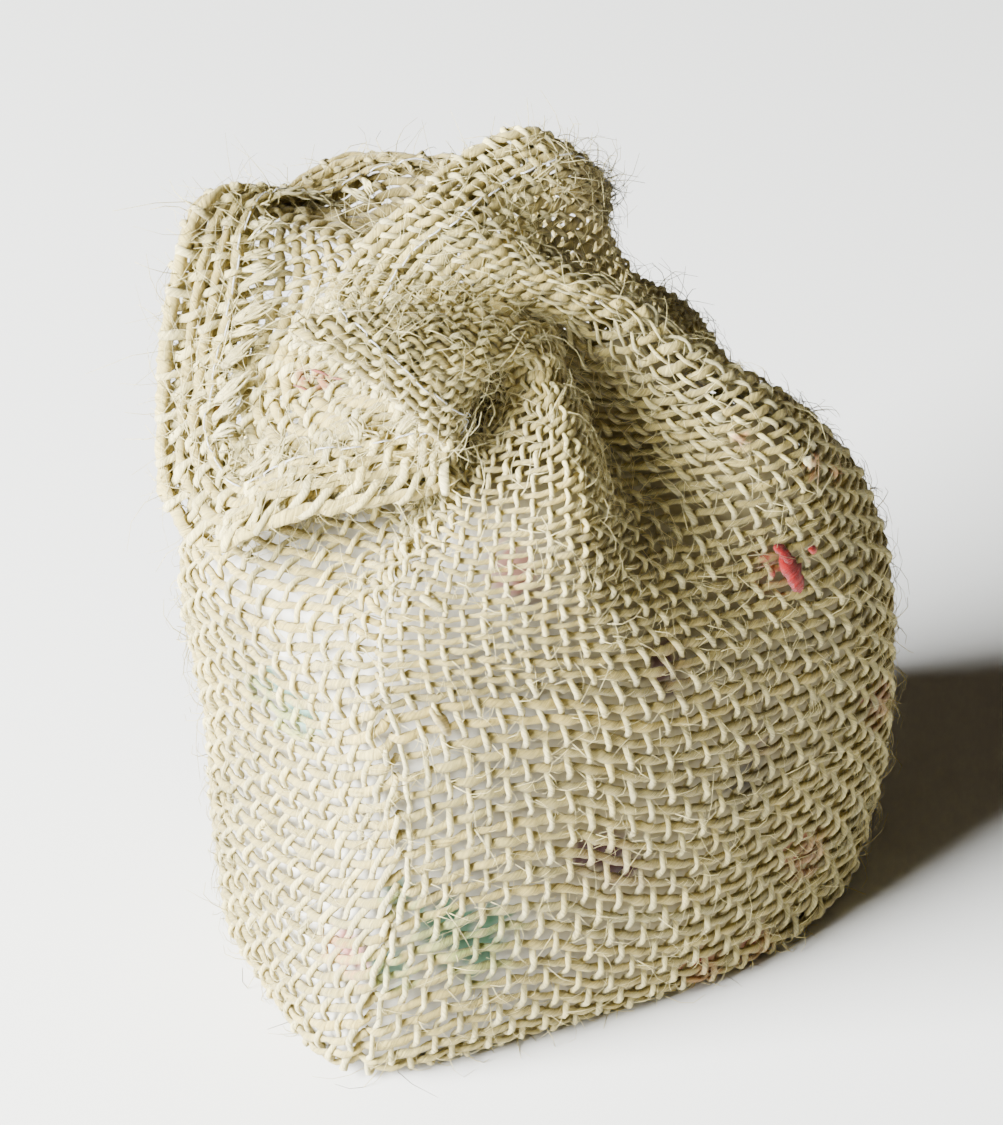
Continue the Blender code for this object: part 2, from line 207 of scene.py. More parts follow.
def gather_weight(angle, neck_share):
    """Weight of the gathers at each angle: 1 on a plain ridge, -1 in a plain valley."""
    neck_angle, foot_angle, neck_weight, foot_weight = np.array(FOLDS, float).T
    centre = neck_angle * neck_share + foot_angle * (1 - neck_share)
    weight = neck_weight * neck_share + foot_weight * (1 - neck_share)
    centre = np.concatenate([[centre[-1] - 360], centre, [centre[0] + 360]])
    weight = np.concatenate([[weight[-1]], weight, [weight[0]]])
    turn = (angle - centre[0]) % 360 + centre[0]
    index = np.clip(np.searchsorted(centre, turn, side="right") - 1, 0, len(centre) - 2)
    share = (turn - centre[index]) / (centre[index + 1] - centre[index])
    blend = 0.5 - 0.5 * np.cos(np.pi * share)
    return weight[index] * (1 - blend) + weight[index + 1] * blend


def fine_rings(seams=(0.0, 0.5), inset=0.0, neck_inset=0.0):
    """The body's rings with gathers and seam ridges, each starting at seam A, moved in by inset.

    neck_inset is the further inset at the neck, from nothing at the foot of the gathers.
    """
    section = section_rows(FINE_ROWS)
    gathered = np.clip((section["z"] - FOLDS_START) / (FOLDS_NECK - FOLDS_START), 0, 1)
    column = {name: values[:, None] for name, values in section.items()}
    corner = np.pi + np.arctan2(column["half_depth"], column["half_width"])
    angle = corner + np.linspace(0, 2 * np.pi, FINE_POINTS, endpoint=False)
    cos, sin = np.cos(angle), np.sin(angle)
    power = np.where(cos * sin > 0, column["seam_square"], column["round_square"])
    across = (np.abs(cos) / column["half_width"]) ** power
    deep = (np.abs(sin) / column["half_depth"]) ** power
    radius = (across + deep) ** (-1 / power)
    slip = -column["shear"] * radius * sin
    x = radius * cos + slip
    y = radius * sin
    height = np.broadcast_to(column["z"], x.shape)
    rings = np.stack([column["centre_x"] + x, column["centre_y"] + y, height], axis=-1)
    along_profile = np.gradient(rings, axis=0)
    around = np.roll(rings, -1, axis=1) - np.roll(rings, 1, axis=1)
    normal = np.cross(around, along_profile)
    normal[..., 2] *= np.clip(column["z"] / FLOOR_TURN, 0, 1)
    size = np.linalg.norm(normal, axis=-1, keepdims=True)
    normal /= np.where(size > 0, size, 1.0)  # the innermost ring on the floor has no level normal
    lift = np.zeros(x.shape)
    along = lengths_along(closed_round(rings).transpose(1, 0, 2)).T
    for row in range(FINE_ROWS):
        degrees = np.degrees(np.arctan2(y[row], x[row]))
        weight = gather_weight(degrees, gathered[row])
        lift[row] = section["fold"][row] * weight
        whole = along[row, -1]
        for seam in seams:
            off = (along[row, :-1] / whole - seam + 0.5) % 1 - 0.5
            lift[row] += section["pinch"][row] * np.exp(-((off * whole / SEAM_WIDTH) ** 2))
    lift -= inset + neck_inset * gathered[:, None]
    return rings + normal * lift[..., None]


def columns_round(rings, shares):
    """Each ring read at shares of its own length, so that the warps stay evenly spaced."""
    read = []
    for ring in closed_round(rings):
        along = lengths_along(ring)
        read.append(read_line(along, ring, shares * along[-1]))
    return np.stack(read)


def collar_columns(body, shares):
    """Curves from the neck ring to the mouth, one for each column, as (row, column, xyz)."""
    table = np.array(RIM, float)
    rows = round_curve(table[:, 0], table[:, 1:], WARPS, shares * WARPS)
    rim, belly = rows[:, :3], rows[:, 3:]
    neck = body[-1]
    rise = unit(body[-1] - body[-1 - NECK_RISE_ROWS])
    reach = np.linalg.norm(rim - neck, axis=-1, keepdims=True)
    leave = neck + rise * reach * NECK_PULL
    arrive = (neck + 3 * rim) / 4 + belly
    t = np.linspace(0, 1, COLLAR_FINE_ROWS)[:, None, None]
    start = (1 - t) ** 3 * neck + 3 * (1 - t) ** 2 * t * leave
    return start + 3 * (1 - t) * t**2 * arrive + t**3 * rim


# ---- the weave
WEFTS = 64  # from the floor to the mouth
STEP = 0.25  # of a warp or weft, between the points at which the cloth's surface is read
BASE_WEFTS = 9  # below the floor line, to the base's middle
INSIDE_WEFTS = 4.5  # wefts in the hem's inner layer
FRINGE_WEFTS = 4  # the raw edge's fringe reaches this much further
# How far the wefts have sagged below the level rings, in wefts, at each warp: least near seam A.
SAG = (
    *((0, 0.0), (4, -0.5), (8, 0.2), (12, 1.9), (16, 2.9), (20, 3.5), (26, 3.9), (36, 3.4)),
    *((48, 2.0), (60, 3.4), (76, 4.2), (84, 4.3), (88, 4.1), (91, 3.3), (94, 1.5), (96, 0.0)),
)
LOW_PITCH, LOW_HEIGHT = 2.5, 58.0  # wefts are this far apart in mm up to this distance up the cloth
# Above it they crowd together on the gathered shoulder, spread in the neck where the folds hide
# them, and crowd again in the collar. Distance up the cloth in mm, then how closely they stand
# midway between the seams and at the seams.
PACE = (
    (0, 1.0, 1.0),
    (58, 1.0, 1.0),
    (66, 1.25, 1.25),
    (88, 1.25, 1.25),
    (96, 0.9, 1.15),
    (106, 0.75, 1.2),
    (114, 1.35, 1.35),
    (200, 1.35, 1.35),
)
MID_DEPTH = 0.6  # of the yarns' middle surface inside the CAD sack's outer surface
FLOOR_DEPTH = 0.3  # more than that on the floor
HEM_BEND = 0.65  # radius of the hem's turn at the mouth
PITCH = 2.37  # from warp to warp in the flat cloth
WARP_CRIMP, WEFT_CRIMP = 0.55, 0.2  # how far a yarn rises over a crossing
WARP_LEAN, WEFT_LEAN = 0.12, 0.08  # and how far it is pushed aside there
WARP_SIZE, WEFT_SIZE = (0.72, 0.62), (1.10, 0.74)  # width and thickness
COLLAR_FULLNESS = 0.3  # how much wider the handled, fluffed yarns near the mouth are
COLLAR_FROM, COLLAR_TO = -16.0, -9.0  # wefts between which they widen, counted from the mouth
LUMPS = 0.13  # how unevenly a yarn's surface stands out, as a share of its radius
OCTAVES = 4  # waves of different lengths in a yarn's wander
TONE_SPREAD = 0.13  # in lightness, from yarn to yarn
SEAM_DIVE, DIVE_WIDTH = 1.3, 0.55  # how deep a weft dives at a seam in mm, and over how many warps
COLUMN_POINTS = 500  # read along each column of the cloth
FLOOR_ZONE = 3.0  # height up to which cloth that faces down counts as lying on the floor
BIAS_WARPS = 8  # warps of the back panel that run out at seam A, where it was cut off the straight
BIAS_FROM, BIAS_TO = -57.0, -37.0  # wefts between which they run out, counted from the mouth
RIM_EVENNESS = 0.95  # how far the warps take up their spacing along the mouth: 1 is fully
# How closely they stand along its edge, at each warp's natural place.
RIM_PACE = ((0, 1.0), (8, 1.15), (44, 1.15), (50, 0.8), (74, 0.8), (80, 1.0), (96, 1.0))
RIM_FROM, RIM_TO = -37.0, -6.0  # wefts between which they take it up, counted from the mouth

# Dye that has run into the cloth: middle in mm, radius in mm, colour and strength.
CLOTH_STAINS = (
    ((18.3, -21.8, 57.0), 1.3, (0.6, 0.04, 0.06), 0.9),
    ((19.9, -21.9, 54.9), 1.5, (0.6, 0.03, 0.06), 0.9),
    ((21.7, -21.9, 52.7), 1.2, (0.6, 0.04, 0.06), 0.9),
    ((24.0, -20.9, 55.3), 0.8, (1.1, 0.15, 0.15), 0.8),
    ((15.8, -18.4, 71.4), 1.4, (1.2, 0.55, 0.5), 0.6),
    ((25.2, -18.9, 66.0), 1.6, (1.1, 0.45, 0.35), 0.6),
    ((29.4, -17.0, 62.5), 1.3, (1.0, 0.4, 0.3), 0.6),
    ((-25.4, 0.6, 78.9), 1.2, (0.42, 0.10, 0.05), 0.8),
    ((-26.8, 2.6, 78.7), 1.0, (0.42, 0.10, 0.05), 0.8),
    ((-35.0, 6.0, 75.2), 1.0, (0.9, 0.35, 0.2), 0.5),
)
# Brown of the painted shade, where little light reaches.
SHADE_BROWN = (0.52, 0.47, 0.36)
# Painted shade: the cloth made darker and browner in the hollows, in the deep pocket beside the
# near fold and on the peak's shaded right side, where little light reaches. Given in the same way.
PAINTED_SHADE = (
    ((-11.5, 19.8, 87.0), 9.0, SHADE_BROWN, 0.75),
    ((-20.0, 21.5, 86.5), 6.0, SHADE_BROWN, 0.5),
    ((-3.5, 16.0, 88.5), 6.0, SHADE_BROWN, 0.5),
    ((-32.6, 19.0, 91.2), 3.5, SHADE_BROWN, 0.6),
    ((-9.2, -4.5, 74.5), 7.5, (0.30, 0.25, 0.17), 0.9),
    ((8.0, 3.5, 92.0), 10.0, (0.65, 0.56, 0.42), 0.55),
)
GREEN, TEAL, WINE, RED, PINK, DARK = (
    (0.02, 0.16, 0.07),
    (0.08, 0.30, 0.22),
    (0.07, 0.006, 0.006),
    (0.30, 0.02, 0.012),
    (0.60, 0.18, 0.16),
    (0.05, 0.04, 0.04),
)
# Plain blots of colour on the filling: middle in mm, radius in mm, colour and strength.
FILLING_BLOTS = (
    ((-22.6, -24.7, 20.9), 3.4, GREEN, 0.9),
    ((-19.0, -25.5, 16.4), 3.6, GREEN, 0.9),
    ((-16.9, -25.8, 20.4), 2.2, GREEN, 0.85),
    ((-28.5, -23.2, 15.9), 2.3, TEAL, 0.8),
    ((-27.1, -22.6, 25.7), 1.7, TEAL, 0.7),
    ((-34.8, -6.2, 46.4), 2.2, TEAL, 0.75),
    ((-33.3, -10.6, 44.3), 2.8, TEAL, 0.75),
    ((-32.0, -18.8, 16.7), 1.9, PINK, 0.75),
    ((-31.2, -21.2, 15.2), 1.4, PINK, 0.7),
    ((-4.6, -26.5, 26.6), 3.1, WINE, 0.97),
    ((-1.4, -26.4, 22.8), 2.4, WINE, 0.97),
    ((3.6, -25.2, 49.9), 2.3, WINE, 0.9),
    ((4.8, -25.4, 46.6), 1.4, WINE, 0.8),
    ((-12.6, -20.6, 64.3), 2.6, PINK, 0.6),
    ((-11.1, -22.0, 61.4), 2.0, WINE, 0.5),
    ((14.8, -24.0, 29.1), 2.9, DARK, 0.7),
    ((16.4, -23.6, 33.2), 1.6, WINE, 0.6),
    ((24.2, -20.9, 13.1), 2.9, RED, 0.6),
    ((35.2, -15.8, 28.2), 2.9, RED, 0.6),
    ((9.6, -24.2, 3.4), 2.4, RED, 0.8),
    ((17.3, -22.4, 2.6), 2.2, RED, 0.8),
    ((38.0, 2.0, 40.0), 3.1, TEAL, 0.7),
    ((21.0, 20.5, 33.0), 3.6, WINE, 0.8),
    ((-6.0, 25.5, 22.0), 3.4, GREEN, 0.8),
    ((-24.0, 20.0, 47.0), 2.6, RED, 0.7),
)
# Painted show-through: each blot's colour is painted on the yarns over it, for its colour seen
# through and between them. Strength, how much wider in mm, and how much lighter.
SHOW_THROUGH, THROUGH_SPREAD, THROUGH_LIGHT = 0.35, 0.8, 2.2
# Loose bits of fibre: both ends in mm, the way they lift off the cloth, width and colour.
OUTSIDE, INSIDE = (0.55, -0.75, 0.37), (0.1, -0.6, 0.8)
BITS = (
    ((18.4, -20.2, 57.9), (20.6, -20.5, 55.4), OUTSIDE, 1.2, (0.75, 0.0, 0.0)),
    ((19.3, -20.2, 56.4), (22.0, -20.7, 51.4), OUTSIDE, 2.3, (0.75, 0.0, 0.0)),
    ((23.0, -19.7, 55.9), (24.2, -19.3, 55.0), OUTSIDE, 0.8, (0.8, 0.03, 0.02)),
    ((12.6, -15.5, 74.0), (14.3, -15.4, 73.2), OUTSIDE, 0.9, (1.2, 1.25, 1.4)),
    ((22.6, -18.3, 67.0), (24.3, -18.0, 66.2), OUTSIDE, 1.0, (1.2, 1.25, 1.4)),
    ((-24.6, -24.0, 51.5), (-22.6, -24.8, 48.0), OUTSIDE, 1.2, (1.0, 0.92, 0.8)),
    ((-24.3, -20.9, 64.3), (-21.8, -22.0, 62.6), OUTSIDE, 1.0, (1.25, 1.25, 1.2)),
    ((-26.6, 2.6, 79.2), (-25.2, 0.4, 79.3), INSIDE, 0.3, (0.36, 0.06, 0.03)),
    ((-25.0, 0.6, 78.8), (-24.0, -0.9, 79.2), INSIDE, 0.25, (0.36, 0.06, 0.03)),
    ((-28.4, 2.6, 77.6), (-27.2, 1.0, 77.4), INSIDE, 0.25, (0.36, 0.08, 0.04)),
)
# A warp's loose end in the fringe: how far it reaches in wefts, its width in mm and its strands.
FULL_END = ((1.7, 2.8), (1.15, 1.75), 8)
THIN_END = ((0.7, 1.6), (0.5, 0.8), 2)
FULL_ENDS = 0.6  # the share of them that are full
STITCH_ROWS = (-3.6, 3.6)  # outside and inside, counted from the mouth
STITCH_LENGTH = 1.35  # in warps
STITCH_LIFT, STITCH_SIZE = 0.85, 0.18
FUZZ = {"front": 4600, "back": 3600}  # stray fibres
COLLAR_FUZZ = {"front": 800, "back": 1100}  # more of them near the mouth
COLLAR_INSIDE = 0.5  # the share of those that stand on the cloth's inner face
HAIR_REACH, EDGE_HAIR_REACH = 4.4, 6.0  # the longest, and the longest near seam A or the mouth
# Where the random draws start.
LUMP_SEED, WARP_SEED, WEFT_SEED, BACK_WEFT_SEED = 31, 1000, 5000, 8000
FRINGE_SEED, FRINGE_TONE_SEED, FUZZ_SEED = 9000, 9500, 77
# The wefts are tinted darker and more olive than the warps: partly their own colour, partly painted
# shade for their lying lower in the weave.
WARP_TINT = np.array([1.05, 1.04, 0.98])
WEFT_TINT = np.array([0.70, 0.65, 0.47])
JUTE = (0.60, 0.51, 0.225)


def smooth_step(value, start, end):
    share = np.clip((value - start) / (end - start), 0, 1)
    return share * share * (3 - 2 * share)


def fullness(row):
    """How much wider a yarn is near the mouth."""
    return 1 + COLLAR_FULLNESS * smooth_step(row, COLLAR_FROM, COLLAR_TO)


def wander(seed, at, scale):
    """Smooth noise of about unit size along a yarn."""
    draw = np.random.default_rng(seed)
    total = np.zeros(np.shape(at))
    for octave in range(OCTAVES):
        rate = 2 * np.pi / scale * draw.uniform(0.6, 1.4) * 1.6**octave
        total += np.sin(rate * np.asarray(at) + draw.uniform(0, 2 * np.pi)) / 1.3**octave
    return total / 1.9


class Cloth:
    """The cloth's middle surface and its outward normals, on a grid of weft rows and warp columns.

    Rows count wefts from the mouth, so that the floor is near row -WEFTS and the hem's inner
    layer is above 0.
    """

    def __init__(self):
        self.columns = np.arange(0, WARPS + STEP / 2, STEP)
        shares = self.columns[:-1] / WARPS
        body = columns_round(fine_rings(), shares)
        collar = collar_columns(body, shares)
        outer = np.concatenate([body, collar[1:]])
        around = np.roll(outer, -1, axis=1) - np.roll(outer, 1, axis=1)
        normal = unit(np.cross(around, np.gradient(outer, axis=0)))
        along = lengths_along(outer)
        floor_ring = outer[0]
        opposite = np.roll(floor_ring[::-1], 1, axis=0)
        midline = (floor_ring + opposite) / 2
        half_depth = np.linalg.norm(floor_ring - midline, axis=-1)
        length = along[-1] - HEM_BEND
        sag_at, sag_by = np.array(SAG, float).T
        sag_by = sag_by[:, None]
        sag = cubic(sag_at, sag_by, limited_slopes(sag_at, sag_by), self.columns[:-1])[:, 0]
        pace = np.array(PACE)
        rows = np.arange(-WEFTS - BASE_WEFTS, INSIDE_WEFTS + FRINGE_WEFTS + STEP / 2, STEP)
        point = np.zeros((len(rows), len(shares), 3))
        facing = np.zeros_like(point)
        lowest = np.zeros(len(shares))
        for column in range(len(shares)):
            half = max(half_depth[column], 0.05)
            reach = length[column]
            at = np.linspace(-half, reach, COLUMN_POINTS)
            midway = np.sin(2 * np.pi * shares[column]) ** 2
            paces = pace[:, 1] * midway + pace[:, 2] * (1 - midway)
            crowding = np.interp(at, pace[:, 0], paces) * (at > LOW_HEIGHT)
            upper = np.cumsum(crowding) / crowding.sum()
            low_rows = np.minimum(at, LOW_HEIGHT) / LOW_PITCH
            upper_rows = WEFTS - 0.5 - sag[column] - LOW_HEIGHT / LOW_PITCH
            row_at = low_rows + sag[column] - WEFTS + upper * upper_rows
            lowest[column] = row_at[0]
            folded = rows > 0.5
            # The inner layer lies half a weft further on, so its yarns cover the outer's gaps.
            inner_row = -rows - 0.5 * smooth_step(rows, 0.5, 1.0)
            read_row = np.where(folded, inner_row, np.minimum(rows, -0.5))
            place = np.interp(read_row, row_at, at)
            under = place < 0
            here = read_line(along[:, column], outer[:, column], place)
            way = read_line(along[:, column], normal[:, column], place)
            share = np.clip(-place / half, 0, 1)[:, None]
            flat = floor_ring[column] + (midline[column] - floor_ring[column]) * share
            here[under] = flat[under]
            way[under] = (0, 0, -1)
            way = unit(way)
            on_floor = here[:, 2:] < FLOOR_ZONE
            depth = MID_DEPTH + FLOOR_DEPTH * np.clip(-way[:, 2:], 0, 1) * on_floor
            here -= way * depth
            # The hem: the cloth turns in at the mouth and runs down its own inside.
            rise = unit(here - np.roll(here, 1, axis=0))
            last = np.searchsorted(rows, -0.5 - 1e-6)
            turn = np.pi * np.clip(rows + 0.5, 0, 1)[:, None]
            turning = (rows > -0.5) & ~folded
            centre = here[last] - HEM_BEND * way[last]
            bent = way[last] * np.cos(turn) + rise[last] * np.sin(turn)
            here[turning] = (centre + HEM_BEND * bent)[turning]
            here[folded] -= 2 * HEM_BEND * way[folded]
            way[turning] = bent[turning]
            way[folded] *= -1
            point[:, column] = here
            facing[:, column] = way
        self.rows = rows
        self.point = closed_round(point) - MIDDLE
        self.facing = closed_round(facing)
        self.lowest = np.concatenate([lowest, lowest[:1]])
        rim = outer[-1]
        steps = np.linalg.norm(np.roll(rim, -1, axis=0) - rim, axis=-1)
        steps *= np.interp(self.columns[:-1], *np.transpose(RIM_PACE))
        even = np.concatenate([[0], np.cumsum(steps)]) / steps.sum() * WARPS
        self.rim_shift = RIM_EVENNESS * (np.interp(self.columns, even, self.columns) - self.columns)
        self.warp_pitch = np.linalg.norm(np.gradient(self.point, axis=1), axis=-1) / STEP
        self.weft_pitch = np.linalg.norm(np.gradient(self.point, axis=0), axis=-1) / STEP

    def read(self, grid, row, column):
        """Bilinear reading of a grid at places given as weft row and warp column."""
        down = np.clip((row - self.rows[0]) / STEP, 0, len(self.rows) - 1.001)
        across = np.clip((column % WARPS) / STEP, 0, len(self.columns) - 1.001)
        i, j = down.astype(int), across.astype(int)
        u, v = down - i, across - j
        if grid.ndim == 3:
            u, v = u[..., None], v[..., None]
        near = grid[i, j] * (1 - v) + grid[i, j + 1] * v
        far = grid[i + 1, j] * (1 - v) + grid[i + 1, j + 1] * v
        return near * (1 - u) + far * u

    def surface(self, row, column):
        """The surface's points and its outward normals."""
        return self.read(self.point, row, column), self.read(self.facing, row, column)

    def pull(self, warp, row):
        """Coherent slips of the weave, in wefts and in warps, as the cloth has been handled."""
        down = np.sin(warp * 0.31 + 1.3 * np.sin(row * 0.17)) * np.sin(row * 0.23 + 0.7)
        across = np.sin(row * 0.29 + 1.1 * np.sin(warp * 0.21 + 2)) * np.sin(warp * 0.19 + 0.4)
        fade = smooth_step(-row, 1, 8)
        return 0.32 * down * fade, 0.28 * across * fade

    def column_of(self, warp, row):
        """The surface column at which a warp stands at a row, and how far it is short of seam A."""
        across = np.maximum((warp - WARPS / 2) / (WARPS / 2), 0)
        drifted = warp + BIAS_WARPS * across * (smooth_step(row, BIAS_FROM, BIAS_TO) - 0.5)
        evened = np.interp(drifted, self.columns, self.rim_shift)
        return drifted + evened * smooth_step(row, RIM_FROM, RIM_TO), WARPS - drifted


def tube_faces(count, sides):
    """Quads between rings of points, then the triangles that close the first and the last ring.

    The points are the rings in turn, then one in the middle of each end.
    """
    step = np.arange(sides)
    beside = (step + 1) % sides
    ring = np.arange(count - 1)[:, None] * sides
    a, b = ring + step, ring + beside
    quads = np.stack([a, b, b + sides, a + sides], axis=-1).reshape(-1, 4)
    last_ring = (count - 1) * sides
    end = np.full(sides, count * sides)
    first_cap = np.stack([beside, step, end], axis=-1)
    return quads, first_cap, np.stack([last_ring + step, last_ring + beside, end + 1], axis=-1)


class Yarns:
    """Gathers tubes into one mesh, each ring of a tube with its own middle, width and thickness."""

    def __init__(self, sides):
        self.sides = sides
        self.points, self.faces, self.coords, self.tints = [], [], [], []
        self.count = 0
        self.draw = np.random.default_rng(LUMP_SEED + sides)

    def add(self, path, facing, width, thick, tint, start_along=0.0):
        """A closed tube along path. width and thick are diameters, and tint is one colour for all
        of it or one for each point."""
        count = len(path)
        along = unit(np.gradient(path, axis=0))
        side = unit(np.cross(along, facing))
        up = np.cross(side, along)
        turn = 2 * np.pi * np.arange(self.sides) / self.sides - np.pi / 2
        width = np.broadcast_to(width, count)[:, None, None] / 2
        thick = np.broadcast_to(thick, count)[:, None, None] / 2
        ring = side[:, None] * width * np.cos(turn)[:, None]
        ring = ring + up[:, None] * thick * np.sin(turn)[:, None]
        lumps = 1 + LUMPS * np.clip(self.draw.normal(size=(count, self.sides, 1)), -2, 2)
        rings = path[:, None] + ring * lumps
        rings[..., 2] = np.maximum(rings[..., 2], 0.02)
        ends = np.stack([rings[0].mean(axis=0), rings[-1].mean(axis=0)])
        self.points.append(np.concatenate([rings.reshape(-1, 3), ends]))
        quads, first_cap, last_cap = tube_faces(count, self.sides)
        caps = np.concatenate([first_cap, last_cap])
        self.faces.append((self.count + quads, self.count + caps))
        length = start_along + lengths_along(path)
        u0 = np.broadcast_to(length[:-1, None], (count - 1, self.sides))
        u1 = np.broadcast_to(length[1:, None], (count - 1, self.sides))
        step = np.arange(self.sides)
        v0 = np.broadcast_to(step / self.sides, u0.shape)
        v1 = np.broadcast_to((step + 1) / self.sides, u0.shape)
        uv = np.stack([u0, v0, u0, v1, u1, v1, u1, v0], axis=-1).reshape(-1, 4, 2)
        cap_uv = np.zeros((len(caps), 3, 2))
        cap_uv[: self.sides, :, 0] = length[0]
        cap_uv[self.sides :, :, 0] = length[-1]
        self.coords.append((uv, cap_uv))
        tint = np.broadcast_to(tint, (count, 3))
        spread = np.repeat(tint, self.sides, axis=0)
        self.tints.append(np.concatenate([spread, tint[:1], tint[-1:]]))
        self.count += count * self.sides + 2

    def build(self, name, material, hollow_shade=()):
        """The object, stained by the dye, tinted by the blots under it as painted show-through, and
        darkened by painted shade in the hollows, where given.
        """
        points = np.concatenate(self.points) * MM
        quads = np.concatenate([q for q, _ in self.faces])
        caps = np.concatenate([c for _, c in self.faces])
        quad_uv = np.concatenate([u for u, _ in self.coords]).reshape(-1, 2)
        cap_uv = np.concatenate([c for _, c in self.coords]).reshape(-1, 2)
        uv = np.concatenate([quad_uv, cap_uv])
        mesh = bpy.data.meshes.new(name)
        mesh.vertices.add(len(points))
        mesh.vertices.foreach_set("co", points.astype(np.float32).ravel())
        corners = np.concatenate([quads.ravel(), caps.ravel()])
        sizes = np.concatenate([np.full(len(quads), 4), np.full(len(caps), 3)])
        mesh.loops.add(len(corners))
        mesh.loops.foreach_set("vertex_index", corners.astype(np.int32))
        mesh.polygons.add(len(sizes))
        starts = np.concatenate([[0], np.cumsum(sizes)[:-1]])
        mesh.polygons.foreach_set("loop_start", starts.astype(np.int32))
        mesh.update(calc_edges=True)
        layer = mesh.uv_layers.new(name="yarn")
        layer.data.foreach_set("uv", uv.astype(np.float32).ravel())
        # Painted show-through: each blot's colour, lighter and spread wider, painted on the yarns
        # over it.
        through = tuple(
            (middle, radius + THROUGH_SPREAD, THROUGH_LIGHT * np.array(colour), SHOW_THROUGH)
            for middle, radius, colour, _ in FILLING_BLOTS
        )
        # The painted shade in the hollows, the dye stains and the blots' painted show-through.
        stains_and_shade = hollow_shade + CLOTH_STAINS + through
        add_tint(mesh, stained_and_shaded(points / MM, np.concatenate(self.tints), stains_and_shade))
        mesh.shade_smooth()
        mesh.validate()
        mesh.materials.append(material)
        return add_object(name, mesh)


def add_object(name, data):
    made = bpy.data.objects.new(name, data)
    bpy.context.scene.collection.objects.link(made)
    return made


def add_tint(mesh, colours):
    """Gives each point of the mesh its colour."""
    tint = mesh.color_attributes.new("tint", "FLOAT_COLOR", "POINT")
    opaque = np.ones((len(colours), 4), np.float32)
    opaque[:, :3] = colours
    tint.data.foreach_set("color", opaque.ravel())


def stained_and_shaded(points, colours, stains_and_shade):
    """The colours, changed near each stain, print blot, patch of painted shade and patch of painted
    show-through. Each is its middle, radius, colour and strength.
    """
    for number, (middle, radius, colour, strength) in enumerate(stains_and_shade):
        off = (points - np.array(middle)) / radius
        rough = 0.35 * np.sin(points @ (2.1, 3.3, 2.7) + number)
        rough = rough * np.sin(points @ (3.1, -1.7, 2.3) + 2 * number)
        share = strength * (1 - smooth_step(np.linalg.norm(off, axis=-1) + rough, 0.75, 1.1))
        colours = colours * (1 - share[:, None]) + np.array(colour) * share[:, None]
    return colours


def yarn_tone(seed, at):
    """Colour along a yarn: each has its own lightness and warmth, with paler and darker lengths."""
    draw = np.random.default_rng(seed)
    light = 1 + draw.normal(0, TONE_SPREAD) + 0.07 * wander(seed + 1, at, 18.0)
    warm = draw.normal(0, 0.05) + 0.04 * wander(seed + 2, at, 30.0)
    return np.stack([light * (1 + 0.3 * warm), light, light * (1 - 1.2 * warm)], axis=-1)


def add_warp(yarns, cloth, index):
    """A yarn from the base's middle up to the mouth, round the hem's turn and down inside it."""
    rows = cloth.rows[cloth.rows <= INSIDE_WEFTS + STEP / 2]
    place, short = cloth.column_of(index + 0.5, rows)
    lowest = np.interp(place % WARPS, cloth.columns, cloth.lowest)
    keep = (short > 0.05) & (rows >= lowest - 0.01)
    rows, place = rows[keep], place[keep]
    if len(rows) < 8:
        return
    phase = np.pi * (rows - 0.5 + index)
    seed = WARP_SEED + 7 * index
    pitch = cloth.read(cloth.warp_pitch, rows, place)
    squeeze = np.clip(pitch / PITCH, 0.3, 1.12)
    drift = 0.11 * wander(seed, rows * PITCH, 26.0) * squeeze
    lean = -WARP_LEAN * np.sin(phase) * squeeze
    inside = 0.5 * smooth_step(rows, -0.2, 1.2)
    slip_down, slip_across = cloth.pull(index + 0.5, rows)
    place = place + (drift + lean) / np.maximum(pitch, 0.4) + inside + slip_across
    rows = rows + slip_down
    middle, facing = cloth.surface(rows, place)
    crimp = WARP_CRIMP * np.cos(phase) * (1 + 0.2 * wander(seed + 3, rows * PITCH, 12.0))
    path = middle + facing * crimp[:, None]
    fat = 1 + 0.14 * wander(seed + 4, rows * PITCH, 15.0)
    fat = fat + 0.08 * wander(seed + 5, rows * PITCH, 4.0)
    hidden = smooth_step(rows, 0, 1)
    width = WARP_SIZE[0] * squeeze**0.75 * fat * fullness(rows)
    thick = WARP_SIZE[1] * squeeze**0.35 * fat * (1 - 0.15 * hidden)
    tone = yarn_tone(seed + 6, rows * PITCH)
    yarns.add(path, facing, width, thick, tone * WARP_TINT, start_along=3.1 * index)


